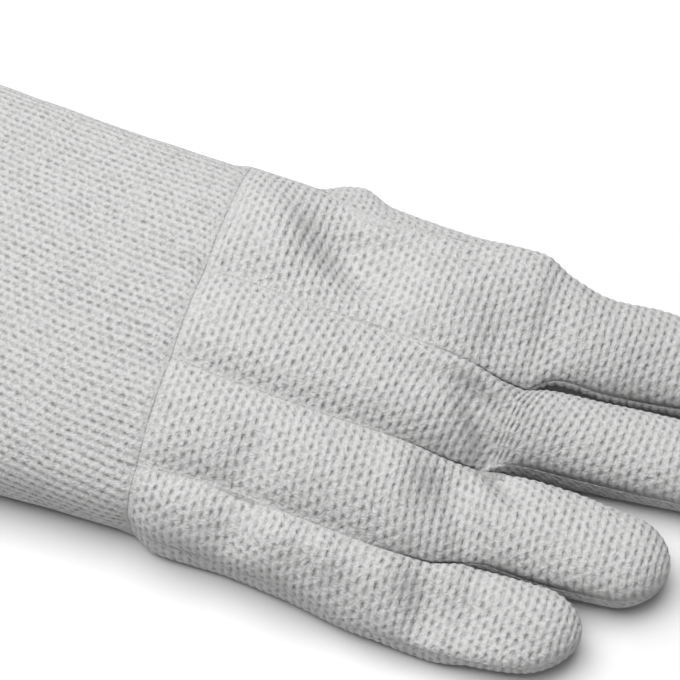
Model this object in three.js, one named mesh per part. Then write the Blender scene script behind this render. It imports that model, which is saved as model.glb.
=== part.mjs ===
// A heat-resistant work glove for the right hand, made of thick, coarsely woven cloth.
// It lies palm down with its thumb tucked under the index side of the palm, which tips the back of the hand
// towards the little finger. Every panel is a wall of cloth, so the glove is hollow and open at the cuff.
// Millimetres. +Y runs from the cuff to the fingertips, +X towards the little finger, +Z up.
// The tables below have y = 0 at the wrist seam and z = 0 on the surface that the glove lies on.
import * as THREE from 'three';

// Cloth
const CLOTH = 2.6;
const SEAM_GAP = 0.3;
const CLOTH_COLOUR = 0xd2d2d0;
const CLOTH_ROUGHNESS = 0.95;

// Meshing of a panel: steps across one strip, along the hand, along a finger and round a fingertip
const ACROSS = 8;
const HAND_STEPS = 13;
const FINGER_STEPS = 7;
const TIP_STEPS = 5;
const TIP_LENGTH = 17;
const CUFF_LENGTH = 150;
const CUFF_STEPS = 8;
const THUMB_STEPS = 8;

// Seams of the hand, from the wrist to the fork between two fingers
const INDEX_SEAM = [
  { y: 0, x: -84, z: 45 }, { y: 28, x: -81, z: 45 }, { y: 52, x: -72.5, z: 48 }, { y: 84, x: -74, z: 45 },
  { y: 113, x: -79, z: 41 }, { y: 124, x: -77, z: 33.5 }, { y: 136, x: -76, z: 26.5 },
  { y: 160, x: -81.5, z: 19 }, { y: 193, x: -83, z: 12 },
];
const VALLEYS = [
  [{ y: 0, x: -30, z: 51.5 }, { y: 12, x: -29.5, z: 52 }, { y: 44, x: -27, z: 51 },
    { y: 73, x: -26.5, z: 48 }, { y: 97, x: -26, z: 42 }, { y: 110, x: -26.5, z: 35 },
    { y: 119.5, x: -29, z: 28 }],
  [{ y: 0, x: 7, z: 48.5 }, { y: 24, x: 9.5, z: 46.5 }, { y: 56, x: 10.5, z: 42.5 },
    { y: 84, x: 9, z: 36.5 }, { y: 102, x: 7, z: 28 }, { y: 112.5, x: 4, z: 21.5 }],
  [{ y: 0, x: 45.5, z: 36 }, { y: 26, x: 44.5, z: 34.5 }, { y: 52, x: 46.5, z: 32.5 },
    { y: 81, x: 47.5, z: 28 }, { y: 104, x: 45, z: 21.5 }, { y: 115.5, x: 39.5, z: 17 }],
];
const LITTLE_SEAM = [
  { y: 0, x: 56.5, z: 17 }, { y: 9, x: 60.5, z: 14.5 }, { y: 30, x: 61, z: 13 },
  { y: 60, x: 65.5, z: 12 }, { y: 90, x: 71, z: 11 }, { y: 118, x: 72.5, z: 11 },
  { y: 135, x: 71.5, z: 10.5 }, { y: 161, x: 66, z: 10 },
];

// Lines on the underside below the three valleys: where it lies on the surface, or is held up by the thumb
const UNDERSIDE = [
  [{ y: 0, x: -30, z: 0 }, { y: 9, x: -30, z: 1 }, { y: 22, x: -29, z: 9 }, { y: 42, x: -27, z: 21.5 },
    { y: 100, x: -27, z: 21.5 }, { y: 119.5, x: -29, z: 17 }],
  [{ y: 0, x: 7, z: 0 }, { y: 60, x: 9, z: 0 }, { y: 112.5, x: 4, z: 0 }],
  [{ y: 0, x: 45.5, z: 0 }, { y: 60, x: 46, z: 0 }, { y: 115.5, x: 39.5, z: 0 }],
];
// The palm's cloth climbs to each fork over WEB_LENGTH. TURN_FROM and TURN_TO are the stations, 0 to 1 from
// wrist to fork, where the strips' edges turn from lying on the palm to facing each other across the fork.
// WEB_SPREAD is how fast the climbing cloth turns from upright at the fork to flat under the finger.
const WEB_LENGTH = 13;
const WEB_CURVE = 1.4;
const WEB_SPREAD = 0.5;
const TURN_FROM = 0.78;
const TURN_TO = 0.94;
const SEAM_LEAN = 0.5;

// How full the sections are: powers of a half sine across a strip
const STRIP_FULLNESS = 0.9;
const DENT_SPREAD = 0.5;
const PALM_FULLNESS = 0.8;

// Side seams of the fingers, from the fork to the fingertip
const FINGER_EDGES = {
  index_right: [{ y: 119.5, x: -29, z: 28 }, { y: 128, x: -36, z: 28 }, { y: 146, x: -39.5, z: 22 },
    { y: 168, x: -45.5, z: 15 }, { y: 193, x: -50, z: 12 }],
  middle_left: [{ y: 119.5, x: -29, z: 28 }, { y: 128, x: -35, z: 22 }, { y: 146, x: -38.5, z: 15.5 },
    { y: 170, x: -41, z: 12.5 }, { y: 203, x: -42, z: 11.5 }],
  middle_right: [{ y: 112.5, x: 4, z: 21.5 }, { y: 122, x: -2.5, z: 20 }, { y: 142, x: -6, z: 15 },
    { y: 170, x: -8, z: 12.5 }, { y: 203, x: -10, z: 11.5 }],
  ring_left: [{ y: 112.5, x: 4, z: 21.5 }, { y: 122, x: -0.5, z: 16 }, { y: 142, x: -1, z: 12.5 },
    { y: 164, x: 1.5, z: 11.5 }, { y: 184, x: 3, z: 11 }],
  ring_right: [{ y: 115.5, x: 39.5, z: 17 }, { y: 124, x: 37.2, z: 15.5 }, { y: 142, x: 37.2, z: 12.5 },
    { y: 164, x: 36.3, z: 11.5 }, { y: 184, x: 34, z: 11 }],
  little_left: [{ y: 115.5, x: 39.5, z: 17 }, { y: 124, x: 38.5, z: 13.5 }, { y: 142, x: 38.5, z: 11.5 },
    { y: 161, x: 38, z: 10.5 }],
};

// Fingers from the index to the little finger. tip is the fingertip's y. In profile, rise is the strip's
// crown above its two seams, drop the underside's depth below them, bulge how far the outer side of the hand
// stands out past its seam, and floor the height of whatever the underside lies on.
const FINGERS = [
  {
    back: 'back_index', front: 'front_index', fork_left: 119.5, tip: 193,
    profile: [
      { y: 0, rise: 5, drop: 24, bulge: 3, floor: 0 }, { y: 9, rise: 7, drop: 24, bulge: 4, floor: 1 },
      { y: 22, rise: 7, drop: 22, bulge: 9, floor: 9 },
      { y: 34, rise: 6.5, drop: 18, bulge: 21, floor: 16.5 },
      { y: 42, rise: 6.5, drop: 15, bulge: 23.5, floor: 21.5 },
      { y: 54, rise: 6.5, drop: 14, bulge: 19, floor: 21.5 },
      { y: 84, rise: 7, drop: 13, bulge: 14, floor: 21.5 },
      { y: 104, rise: 9, drop: 12, bulge: 10, floor: 20.5 },
      { y: 118, rise: 11, drop: 12, bulge: 7, floor: 12 },
      { y: 136, rise: 13, drop: 13, bulge: 2, floor: 5 },
      { y: 160, rise: 12.5, drop: 14, bulge: 0, floor: 0 },
      { y: 193, rise: 12, drop: 13, bulge: 0, floor: 0 },
    ],
  },
  {
    back: 'back_middle', front: 'front_middle', tip: 203,
    profile: [
      { y: 0, rise: 3, drop: 0, bulge: 0, floor: 0 }, { y: 15, rise: 5, drop: 0, bulge: 0, floor: 0 },
      { y: 60, rise: 6, drop: 0, bulge: 0, floor: 0 }, { y: 90, rise: 7.5, drop: 2, bulge: 0, floor: 0 },
      { y: 102, rise: 8.5, drop: 14, bulge: 0, floor: 0 },
      { y: 112, rise: 10, drop: 22, bulge: 0, floor: 0 },
      { y: 120, rise: 11.5, drop: 24, bulge: 0, floor: 0 },
      { y: 130, rise: 12.5, drop: 18, bulge: 0, floor: 0 },
      { y: 150, rise: 13, drop: 16, bulge: 0, floor: 0 },
      { y: 203, rise: 12.5, drop: 13, bulge: 0, floor: 0 },
    ],
  },
  {
    back: 'back_ring', front: 'front_ring', tip: 184.5,
    profile: [
      { y: 0, rise: 4, drop: 0, bulge: 0, floor: 0 }, { y: 15, rise: 5.5, drop: 0, bulge: 0, floor: 0 },
      { y: 60, rise: 6.5, drop: 0, bulge: 0, floor: 0 }, { y: 92, rise: 8, drop: 2, bulge: 0, floor: 0 },
      { y: 102, rise: 9, drop: 14, bulge: 0, floor: 0 },
      { y: 112, rise: 10.5, drop: 22, bulge: 0, floor: 0 },
      { y: 118, rise: 11.5, drop: 20, bulge: 0, floor: 0 },
      { y: 128, rise: 12, drop: 15, bulge: 0, floor: 0 },
      { y: 150, rise: 12, drop: 13.5, bulge: 0, floor: 0 },
      { y: 185, rise: 11.5, drop: 12.5, bulge: 0, floor: 0 },
    ],
  },
  {
    back: 'back_little', front: 'front_little', fork_right: 115.5, tip: 161.5,
    profile: [
      { y: 0, rise: 5, drop: 12, bulge: 0, floor: 0 }, { y: 15, rise: 7.5, drop: 12, bulge: 1, floor: 0 },
      { y: 60, rise: 8.5, drop: 11, bulge: 1, floor: 0 },
      { y: 90, rise: 9, drop: 11, bulge: 1, floor: 0 },
      { y: 104, rise: 9.5, drop: 15, bulge: 1, floor: 0 },
      { y: 114, rise: 10, drop: 18, bulge: 1, floor: 0 },
      { y: 128, rise: 11, drop: 13, bulge: 0, floor: 0 },
      { y: 162, rise: 11, drop: 12, bulge: 0, floor: 0 },
    ],
  },
];

// Dents and folds in the back of the glove: centre, turn of the long axis from +X towards +Y, half length,
// half width and depth. A negative depth is a ridge.
const DENTS = [
  { x: -53, y: 40, turn: 75, length: 19, width: 6, depth: 5 },
  { x: -56, y: 14, turn: 75, length: 16, width: 8, depth: -2 },
  { x: -10, y: 99, turn: -12, length: 17, width: 4.5, depth: 8 },
  { x: -20, y: 88, turn: 75, length: 14, width: 5, depth: -3 },
  { x: 20, y: 104, turn: 15, length: 13, width: 6, depth: 4.5 },
  { x: 56, y: 29, turn: 20, length: 9, width: 8, depth: 2.2 },
  { x: 60, y: 66, turn: 10, length: 9, width: 9, depth: 1.8 },
  { x: 57, y: 105, turn: 0, length: 14, width: 7, depth: 3.5 },
  { x: 27, y: 20, turn: 25, length: 12, width: 8, depth: 2 },
];

// Mouth of the cuff, an oval that lies on its flattened underside
const MOUTH = { x: -26, half: 84, height: 46, round: 0.9, flat: 0.66 };
const SEAM_EASING = 5;
const CUFF_CROWDING = 1.4;
const CUFF_SOFTNESS = 0.4;

// Thumb: the hole for it is a stretch of the index finger's share of the palm, where the palm's cloth climbs
// on to the thumb. The tube leaves the hole and lies flat along the surface.
const THUMB_HOLE = { first_column: 3, last_column: 6, first_row: 1, last_row: 4 };
const THUMB = [
  { y: 47, x: -56.5, half: 18, height: 20 }, { y: 62, x: -57, half: 17.5, height: 20.4 },
  { y: 82, x: -57, half: 17, height: 20.2 }, { y: 114, x: -56, half: 16, height: 18.5 },
];
const THUMB_TIP = 114;
const THUMB_FLAT = 0.75;
const THUMB_LAP = CLOTH / 4;
const THUMB_LIFT = 0.45;

const UP = new THREE.Vector3(0, 0, 1);

// Smooth run through a table's rows along y, for every other column
function track(rows) {
  const columns = Object.keys(rows[0]).filter((name) => name !== 'y');
  const slopes = rows.map((row, i) => {
    const slope = {};
    for (const name of columns) {
      const before = i > 0 ? (row[name] - rows[i - 1][name]) / (row.y - rows[i - 1].y) : null;
      const after = i < rows.length - 1 ? (rows[i + 1][name] - row[name]) / (rows[i + 1].y - row.y) : null;
      if (before === null || after === null) slope[name] = before ?? after;
      else slope[name] = before * after > 0 ? (2 * before * after) / (before + after) : 0;
    }
    return slope;
  });
  return (y) => {
    let i = 0;
    while (i < rows.length - 2 && y > rows[i + 1].y) i += 1;
    const span = rows[i + 1].y - rows[i].y;
    const s = THREE.MathUtils.clamp((y - rows[i].y) / span, 0, 1);
    const at = {};
    for (const name of columns) {
      const a = rows[i][name];
      const b = rows[i + 1][name];
      const pull = slopes[i][name] * span;
      const push = slopes[i + 1][name] * span;
      const rise = b - a;
      at[name] = a + pull * s + (3 * rise - 2 * pull - push) * s ** 2 + (pull + push - 2 * rise) * s ** 3;
    }
    return at;
  };
}

const smooth = THREE.MathUtils.smoothstep;
const mix = THREE.MathUtils.lerp;

const index_seam = track(INDEX_SEAM);
const little_seam = track(LITTLE_SEAM);
const valleys = VALLEYS.map(track);
const underside = UNDERSIDE.map(track);
const forks = VALLEYS.map((rows) => rows[rows.length - 1]);
const edges = Object.fromEntries(Object.entries(FINGER_EDGES).map(([name, rows]) => [name, track(rows)]));
const EDGE_NAMES = [[null, 'index_right'], ['middle_left', 'middle_right'], ['ring_left', 'ring_right'],
  ['little_left', null]];
const profiles = FINGERS.map((finger) => track(finger.profile));

// Rows of a panel: v runs 0 to 1 from the wrist to the fork and 1 to 2 from there to the fingertip
function stations() {
  const rows = [];
  for (let i = 0; i <= HAND_STEPS; i += 1) rows.push(i / HAND_STEPS);
  for (let i = 1; i <= FINGER_STEPS + TIP_STEPS; i += 1) rows.push(1 + i / (FINGER_STEPS + TIP_STEPS));
  return rows;
}

// How far round the fingertip a row lies, from 0 where the rounding starts to a quarter turn at the tip
function tip_turn(v) {
  const straight = FINGER_STEPS / (FINGER_STEPS + TIP_STEPS);
  return Math.max(0, (v - 1 - straight) / (1 - straight)) * Math.PI / 2;
}

function place_along(finger, side, v) {
  const { tip, fork_left, fork_right } = FINGERS[finger];
  const fork = side === 0 ? fork_left ?? forks[finger - 1].y : fork_right ?? forks[finger].y;
  if (v <= 1) return v * fork;
  const straight = FINGER_STEPS / (FINGER_STEPS + TIP_STEPS);
  const turn = tip_turn(v);
  if (turn === 0) return mix(fork, tip - TIP_LENGTH, (v - 1) / straight);
  return tip - TIP_LENGTH * (1 - Math.sin(turn));
}

// Seam point on one side of a finger's strip; depth 0 is the cloth's outer face, CLOTH its inner face
function top_edge(finger, side, v, depth) {
  const y = place_along(finger, side, v);
  const outward = side === 0 ? -1 : 1;
  let at;
  let turn = Math.PI / 2;
  if (is_outer_seam(finger, side)) at = finger === 0 ? index_seam(y) : little_seam(y);
  else if (v <= 1) {
    at = valleys[side === 0 ? finger - 1 : finger](y);
    turn *= smooth(v, TURN_FROM, TURN_TO);
  } else at = edges[EDGE_NAMES[finger][side]](y);
  return new THREE.Vector3(
    at.x - outward * (depth * Math.sin(turn) + SEAM_GAP / 2), y, at.z - depth * Math.cos(turn) + SEAM_GAP / 2,
  );
}

function is_outer_seam(finger, side) {
  return (finger === 0 && side === 0) || (finger === 3 && side === 1);
}

// Seam point at the glove's index or little side, as the cloth below the seam has it
function outer_seam_point(finger, y, depth) {
  const at = finger === 0 ? index_seam(y) : little_seam(y);
  const outward = finger === 0 ? -1 : 1;
  return new THREE.Vector3(
    at.x - outward * depth * Math.cos(SEAM_LEAN), y, at.z - SEAM_GAP / 2 - depth * Math.sin(SEAM_LEAN),
  );
}

// Edge of a finger's share of the palm: the outer seam, or the line under the valley
function palm_edge(finger, side, v, depth) {
  const y = place_along(finger, side, v);
  if (is_outer_seam(finger, side)) return outer_seam_point(finger, y, depth);
  const gap = side === 0 ? finger - 1 : finger;
  const fork = forks[gap];
  const at = underside[gap](y);
  const climb = smooth(y, fork.y - WEB_LENGTH, fork.y) ** WEB_CURVE;
  return new THREE.Vector3(
    at.x, y - depth * climb, mix(at.z, fork.z - SEAM_GAP / 2, climb) + depth * (1 - climb),
  );
}

// Edge of a finger's front, which starts a gap past the palm's end
function front_edge(finger, side, v, depth) {
  const y = place_along(finger, side, v) + (v === 1 ? SEAM_GAP : 0);
  if (is_outer_seam(finger, side)) return outer_seam_point(finger, y, depth);
  const at = edges[EDGE_NAMES[finger][side]](y);
  const outward = side === 0 ? -1 : 1;
  return new THREE.Vector3(at.x - outward * (depth + SEAM_GAP / 2), y, at.z - SEAM_GAP / 2);
}

// Pull both seams of a finger together round its tip
function close_tip(left, right, v, depth) {
  const turn = tip_turn(v);
  const shrink = v === 2 ? 0 : Math.cos(turn);
  const middle = left.clone().add(right).multiplyScalar(0.5);
  for (const point of [left, right]) {
    point.x = mix(middle.x, point.x, shrink);
    point.z = mix(middle.z, point.z, shrink);
    point.y -= depth * Math.sin(turn);
  }
  return shrink;
}

function dent_depth(x, y) {
  let sum = 0;
  for (const dent of DENTS) {
    const turn = THREE.MathUtils.degToRad(dent.turn);
    const along = ((x - dent.x) * Math.cos(turn) + (y - dent.y) * Math.sin(turn)) / dent.length;
    const across = ((y - dent.y) * Math.cos(turn) - (x - dent.x) * Math.sin(turn)) / dent.width;
    sum += dent.depth * Math.exp(-along * along - across * across);
  }
  return sum;
}

// Point on a back strip: t runs 0 to 1 across it
function back_point(finger, t, v, depth) {
  const left = top_edge(finger, 0, v, depth);
  const right = top_edge(finger, 1, v, depth);
  const lowered = (top_edge(finger, 0, v, 0).z + top_edge(finger, 1, v, 0).z - left.z - right.z) / 2;
  const shrink = close_tip(left, right, v, depth);
  const theta = Math.PI * t;
  const s = (1 - Math.cos(theta)) / 2;
  const point = left.clone().lerp(right, s);
  const rise = (profiles[finger](point.y).rise - depth + lowered) * shrink;
  const up = shrink > 0 ? new THREE.Vector3(left.z - right.z, 0, right.x - left.x).normalize() : UP;
  point.addScaledVector(up, rise * Math.sin(theta) ** STRIP_FULLNESS);
  point.z -= dent_depth(point.x, point.y) * Math.sin(theta) ** DENT_SPREAD;
  return point;
}

// Point on the cloth under one finger's strip; edge is palm_edge up to the forks and front_edge past them
function under_point(edge, finger, t, v, depth) {
  const left = edge(finger, 0, v, depth);
  const right = edge(finger, 1, v, depth);
  const shrink = close_tip(left, right, v, depth);
  const theta = Math.PI * t;
  const s = (1 - Math.cos(theta)) / 2;
  const point = left.clone().lerp(right, s);
  if (edge === palm_edge) {
    const level = mix(place_along(finger, 0, v), place_along(finger, 1, v), s);
    point.y = mix(point.y, level, Math.sin(theta) ** WEB_SPREAD);
  }
  const { drop, bulge, floor } = profiles[finger](point.y);
  const lowest = Math.max(0, drop - (drop > CLOTH ? depth * Math.sin(theta) : 0));
  point.z -= lowest * shrink * Math.sin(theta) ** PALM_FULLNESS;
  if (t > 0 && t < 1) point.z = Math.max(point.z, floor + depth);
  if (finger === 0 && t < 0.5) point.x -= bulge * Math.sin(2 * theta);
  if (finger === 3 && t > 0.5) point.x -= bulge * Math.sin(2 * theta);
  return point;
}

// Closed body from faces between numbered points
class Cloth {
  constructor() {
    this.points = [];
    this.faces = [];
  }

  add(point) {
    this.points.push(point);
    return this.points.length - 1;
  }

  quad(a, b, c, d) {
    this.triangle(a, b, c);
    this.triangle(a, c, d);
  }

  triangle(a, b, c) {
    if (a !== b && b !== c && c !== a) this.faces.push(a, b, c);
  }

  // Walls along every edge that only one face of a sheet has, between its outer and inner copy
  thicken(outer_count) {
    const single = new Map();
    for (let i = 0; i < this.faces.length; i += 3) {
      for (let k = 0; k < 3; k += 1) {
        const a = this.faces[i + k];
        const b = this.faces[i + ((k + 1) % 3)];
        if (!single.delete(`${b} ${a}`)) single.set(`${a} ${b}`, [a, b]);
      }
    }
    const sheet = this.faces.slice();
    for (let i = 0; i < sheet.length; i += 3) {
      this.faces.push(sheet[i + 2] + outer_count, sheet[i + 1] + outer_count, sheet[i] + outer_count);
    }
    for (const [a, b] of single.values()) this.quad(b, a, a + outer_count, b + outer_count);
  }

  geometry() {
    const geometry = new THREE.BufferGeometry();
    const positions = this.points.flatMap((point) => [point.x, point.y, point.z]);
    geometry.setAttribute('position', new THREE.Float32BufferAttribute(positions, 3));
    geometry.setIndex(this.faces);
    geometry.computeVertexNormals();
    return geometry;
  }
}

const glove = new THREE.Group();

function sew_in(name, cloth) {
  const material = new THREE.MeshStandardMaterial({
    color: CLOTH_COLOUR, roughness: CLOTH_ROUGHNESS, metalness: 0,
  });
  const mesh = new THREE.Mesh(cloth.geometry(), material);
  mesh.name = name;
  glove.add(mesh);
}

const rows = stations();
const last = rows.length - 1;

// Back strips
FINGERS.forEach((finger, number) => {
  const cloth = new Cloth();
  const sheets = [0, CLOTH].map((depth) => rows.map((v, row) => {
    if (row === last) return new Array(ACROSS + 1).fill(cloth.add(back_point(number, 0.5, v, depth)));
    return Array.from({ length: ACROSS + 1 }, (_, i) => cloth.add(back_point(number, i / ACROSS, v, depth)));
  }));
  const [outer] = sheets;
  for (let row = 0; row < last; row += 1) {
    for (let i = 0; i < ACROSS; i += 1) {
      cloth.quad(outer[row][i], outer[row][i + 1], outer[row + 1][i + 1], outer[row + 1][i]);
    }
  }
  cloth.thicken(cloth.points.length / 2);
  sew_in(finger.back, cloth);
});

// Palm: one cloth of four shares up to the forks, with a hole for the thumb
const palm = new Cloth();
const palm_sheet = [0, CLOTH].map((depth) => rows.slice(0, HAND_STEPS + 1).map((v) => {
  const line = [];
  FINGERS.forEach((finger, number) => {
    const first = number === 0 ? palm.add(under_point(palm_edge, 0, 0, v, depth)) : line[number - 1][ACROSS];
    const share = [first];
    for (let i = 1; i <= ACROSS; i += 1) {
      share.push(palm.add(under_point(palm_edge, number, i / ACROSS, v, depth)));
    }
    line.push(share);
  });
  return line;
}))[0];
function in_thumb_hole(number, i, row) {
  const hole = THUMB_HOLE;
  return number === 0 && i >= hole.first_column && i < hole.last_column
    && row >= hole.first_row && row < hole.last_row;
}
for (let row = 0; row < HAND_STEPS; row += 1) {
  FINGERS.forEach((finger, number) => {
    const here = palm_sheet[row][number];
    const next = palm_sheet[row + 1][number];
    for (let i = 0; i < ACROSS; i += 1) {
      if (!in_thumb_hole(number, i, row)) palm.quad(here[i + 1], here[i], next[i], next[i + 1]);
    }
  });
}
palm.thicken(palm.points.length / 2);
sew_in('palm', palm);

// Fronts of the fingers, which the palm's cloth runs on into
FINGERS.forEach((finger, number) => {
  const cloth = new Cloth();
  const [outer] = [0, CLOTH].map((depth) => rows.slice(HAND_STEPS).map((v) => {
    if (v === rows[last]) {
      return new Array(ACROSS + 1).fill(cloth.add(under_point(front_edge, number, 0.5, v, depth)));
    }
    return Array.from({ length: ACROSS + 1 }, (_, i) => (
      cloth.add(under_point(front_edge, number, i / ACROSS, v, depth))));
  }));
  for (let row = 0; row < outer.length - 1; row += 1) {
    for (let i = 0; i < ACROSS; i += 1) {
      cloth.quad(outer[row][i + 1], outer[row][i], outer[row + 1][i], outer[row + 1][i + 1]);
    }
  }
  cloth.thicken(cloth.points.length / 2);
  sew_in(finger.front, cloth);
});

// Cuff: its seam end follows the hand's outline at the wrist, its mouth is the oval
const cuff = new Cloth();
function wrist_outline(depth) {
  const outline = [];
  for (let number = 0; number < 4; number += 1) {
    for (let i = 0; i < ACROSS; i += 1) outline.push(back_point(number, i / ACROSS, 0, depth));
  }
  for (let number = 3; number >= 0; number -= 1) {
    for (let i = ACROSS; i > 0; i -= 1) outline.push(under_point(palm_edge, number, i / ACROSS, 0, depth));
  }
  return outline;
}
// Outline with the valleys of the hand's strips smoothed away, as it is a little past the seam
function eased(outline) {
  let line = outline.map((point) => point.clone());
  for (let pass = 0; pass < SEAM_EASING; pass += 1) {
    line = line.map((point, i) => {
      const before = line[(i + line.length - 1) % line.length];
      const after = line[(i + 1) % line.length];
      return point.clone().multiplyScalar(2).add(before).add(after).multiplyScalar(0.25);
    });
  }
  const full = new THREE.Box3().setFromPoints(outline);
  const shrunk = new THREE.Box3().setFromPoints(line);
  for (const point of line) {
    for (const axis of ['x', 'z']) {
      const share = (point[axis] - shrunk.min[axis]) / (shrunk.max[axis] - shrunk.min[axis]);
      point[axis] = mix(full.min[axis], full.max[axis], share);
    }
  }
  return line;
}
function signed_power(value, power) {
  return Math.sign(value) * Math.abs(value) ** power;
}
function mouth_point(angle, depth) {
  return new THREE.Vector3(
    MOUTH.x - (MOUTH.half - depth) * signed_power(Math.cos(angle), MOUTH.round), 0,
    MOUTH.height / 2 + (MOUTH.height / 2 - depth) * signed_power(Math.sin(angle), MOUTH.flat),
  );
}
const cuff_sheet = [0, CLOTH].map((depth) => {
  const seam = wrist_outline(depth);
  const wrist = eased(seam);
  const half_turn = seam.length / 2;
  const lines = [];
  for (let row = 0; row <= CUFF_STEPS; row += 1) {
    const along = (row / CUFF_STEPS) ** CUFF_CROWDING;
    const share = mix(along, smooth(along, 0, 1), CUFF_SOFTNESS);
    const y = -SEAM_GAP - along * (CUFF_LENGTH - SEAM_GAP);
    lines.push(seam.map((point, i) => {
      const start = row === 0 ? point : wrist[i];
      const angle = Math.PI * (i < half_turn ? i / half_turn : (i - 2 * half_turn) / half_turn);
      const mouth = mouth_point(angle, depth);
      return cuff.add(new THREE.Vector3(mix(start.x, mouth.x, share), y, mix(start.z, mouth.z, share)));
    }));
  }
  return lines;
})[0];
for (let row = 0; row < CUFF_STEPS; row += 1) {
  const count = cuff_sheet[0].length;
  for (let i = 0; i < count; i += 1) {
    const k = (i + 1) % count;
    cuff.quad(cuff_sheet[row][k], cuff_sheet[row][i], cuff_sheet[row + 1][i], cuff_sheet[row + 1][k]);
  }
}
cuff.thicken(cuff.points.length / 2);
sew_in('cuff', cuff);

// Thumb: its base is sewn round the hole in the palm, and the tube runs forward under the palm
const thumb = new Cloth();
const thumb_shape = track(THUMB);
const hole_width = THUMB_HOLE.last_column - THUMB_HOLE.first_column;
const hole_depth = THUMB_HOLE.last_row - THUMB_HOLE.first_row;
// Round the hole: a column and row of the palm's sheet and the matching angle of the tube in degrees
function hole_rim() {
  const { first_column, last_column, first_row, last_row } = THUMB_HOLE;
  const sides = [
    { column: first_column, row: first_row, step: [1, 0], count: hole_width, from: -135 },
    { column: last_column, row: first_row, step: [0, 1], count: hole_depth, from: -45 },
    { column: last_column, row: last_row, step: [-1, 0], count: hole_width, from: 45 },
    { column: first_column, row: last_row, step: [0, -1], count: hole_depth, from: 135 },
  ];
  return sides.flatMap(({ column, row, step, count, from }) => Array.from({ length: count }, (_, k) => (
    [column + step[0] * k, row + step[1] * k, from + (90 * k) / count]
  )));
}
const rim = hole_rim();
const rim_points = rim.map(([column, row]) => under_point(palm_edge, 0, column / ACROSS, rows[row], 0));
const rim_middle = new THREE.Vector3();
for (const point of rim_points) rim_middle.addScaledVector(point, 1 / rim.length);
const rim_out = new THREE.Vector3().subVectors(rim_points[hole_width + hole_depth], rim_points[hole_width])
  .cross(new THREE.Vector3(1, 0, 0)).normalize();
const thumb_sheet = [0, CLOTH].map((depth) => {
  const lines = [rim_points.map((point) => {
    const sideways = point.clone().sub(rim_middle).projectOnPlane(rim_out).normalize();
    const lifted = point.clone().addScaledVector(rim_out, THUMB_LIFT);
    return thumb.add(lifted.addScaledVector(sideways, THUMB_LAP - depth));
  })];
  const first = THUMB[0].y;
  for (let row = 0; row < THUMB_STEPS + TIP_STEPS; row += 1) {
    const turn = Math.max(0, (row - THUMB_STEPS) / TIP_STEPS) * Math.PI / 2;
    const straight = mix(first, THUMB_TIP - TIP_LENGTH, Math.min(row, THUMB_STEPS) / THUMB_STEPS);
    const y = straight + (TIP_LENGTH - depth) * Math.sin(turn);
    const { x, half, height } = thumb_shape(y);
    lines.push(rim.map(([, , degrees]) => {
      const angle = THREE.MathUtils.degToRad(degrees);
      return thumb.add(new THREE.Vector3(
        x + (half - depth) * Math.cos(turn) * signed_power(Math.cos(angle), THUMB_FLAT), y,
        height / 2 + (height / 2 - depth) * Math.cos(turn) * signed_power(Math.sin(angle), THUMB_FLAT),
      ));
    }));
  }
  const end = thumb_shape(THUMB_TIP);
  const pole = thumb.add(new THREE.Vector3(end.x, THUMB_TIP - depth, end.height / 2));
  lines.push(rim.map(() => pole));
  return lines;
})[0];
for (let row = 0; row < thumb_sheet.length - 1; row += 1) {
  for (let i = 0; i < rim.length; i += 1) {
    const k = (i + 1) % rim.length;
    thumb.quad(thumb_sheet[row][i], thumb_sheet[row + 1][i], thumb_sheet[row + 1][k], thumb_sheet[row][k]);
  }
}
thumb.thicken(thumb.points.length / 2);
sew_in('thumb', thumb);

// The origin is the middle of the glove's footprint, on the surface that it lies on
const reach = new THREE.Box3().setFromObject(glove);
glove.position.set(-(reach.min.x + reach.max.x) / 2, -(reach.min.y + reach.max.y) / 2, -reach.min.z);

export default glove;
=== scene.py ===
import math

import bpy
import numpy as np
from mathutils import Matrix, Vector


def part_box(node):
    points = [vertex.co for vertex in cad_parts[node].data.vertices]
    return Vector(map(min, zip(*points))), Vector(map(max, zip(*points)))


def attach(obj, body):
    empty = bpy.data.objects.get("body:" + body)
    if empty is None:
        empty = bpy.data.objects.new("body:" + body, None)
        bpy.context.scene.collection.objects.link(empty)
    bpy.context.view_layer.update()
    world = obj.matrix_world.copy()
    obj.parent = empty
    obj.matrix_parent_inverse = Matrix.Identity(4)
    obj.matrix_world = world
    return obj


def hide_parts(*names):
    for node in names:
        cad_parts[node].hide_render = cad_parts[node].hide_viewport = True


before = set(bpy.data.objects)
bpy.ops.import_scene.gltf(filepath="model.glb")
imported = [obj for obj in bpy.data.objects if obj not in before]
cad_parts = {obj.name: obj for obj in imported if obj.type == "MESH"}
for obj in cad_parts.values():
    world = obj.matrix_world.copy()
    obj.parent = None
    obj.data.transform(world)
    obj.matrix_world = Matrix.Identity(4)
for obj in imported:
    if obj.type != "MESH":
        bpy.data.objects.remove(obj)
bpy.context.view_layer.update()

# Back of the hand. Four strips of thick, coarse grey cloth run from the wrist to the fingertips. They are
# sewn edge to edge and to the palm's cloth, and each is cut wider than its place, so that it stands up
# between its seams. Lengths are in millimetres, from the wrist seam and the surface that the glove lies on.
CLOTH = 2.6
FINGERTIP_LENGTH = 17
# Share of the rows past the fork that lie before the round fingertip
STRAIGHT_SHARE = 0.7
# Powers that shape a strip's bow on the hand and on its finger, and the dents towards its seams
STRIP_BOW = 2.8
FINGER_FULLNESS = 0.9
DENT_SPREAD = 0.5
# Roundness of the valleys between the strips, groove along the wrist seam, and the weave's fade towards it
VALLEY_ROUND = 1.1
WRIST_GROOVE = 1.0
GROOVE_WIDTH = 3.2
WRIST_FADE = 0.7
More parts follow.
